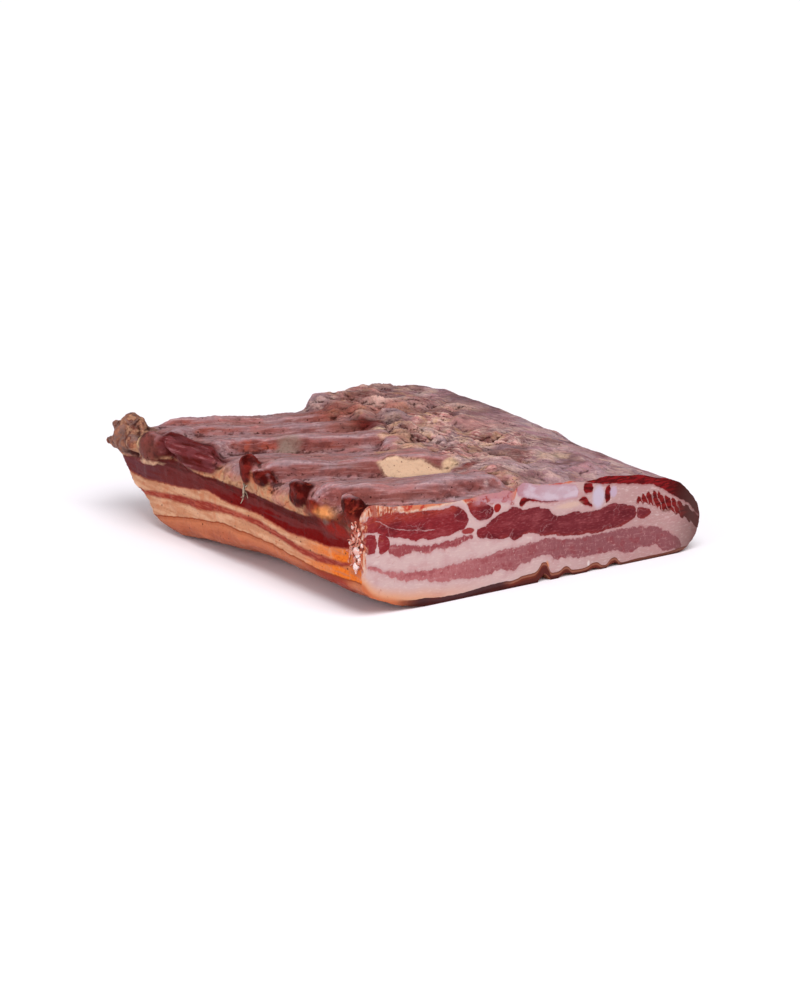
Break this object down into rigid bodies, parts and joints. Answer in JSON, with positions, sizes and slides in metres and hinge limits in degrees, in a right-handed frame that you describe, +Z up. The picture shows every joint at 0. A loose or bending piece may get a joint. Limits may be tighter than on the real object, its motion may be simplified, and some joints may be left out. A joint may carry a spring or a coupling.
{
  "type": "pancetta",
  "caption": "Flat cured pork-belly slab on its rind, with a fresh cut showing streaks of lean and fat, a ribbed meat side and a dried rib edge.",
  "frame": {"origin": "centre of the footprint, at the level the slab rests on", "axes": "+X from the rib side to the belly edge, along the fresh cut; +Y from the fresh cut to the far end; +Z up through the thickness, from the rind to the ribbed meat side"},
  "size_m": [0.2266, 0.2552, 0.0626],
  "materials": {
    "meat": "dried cured meat, satin, mauve-brown above and cream, amber and red-brown at the fat and the rind"
  },
  "bodies": {
    "root": {"pancetta": "meat"}
  },
  "joints": []
}
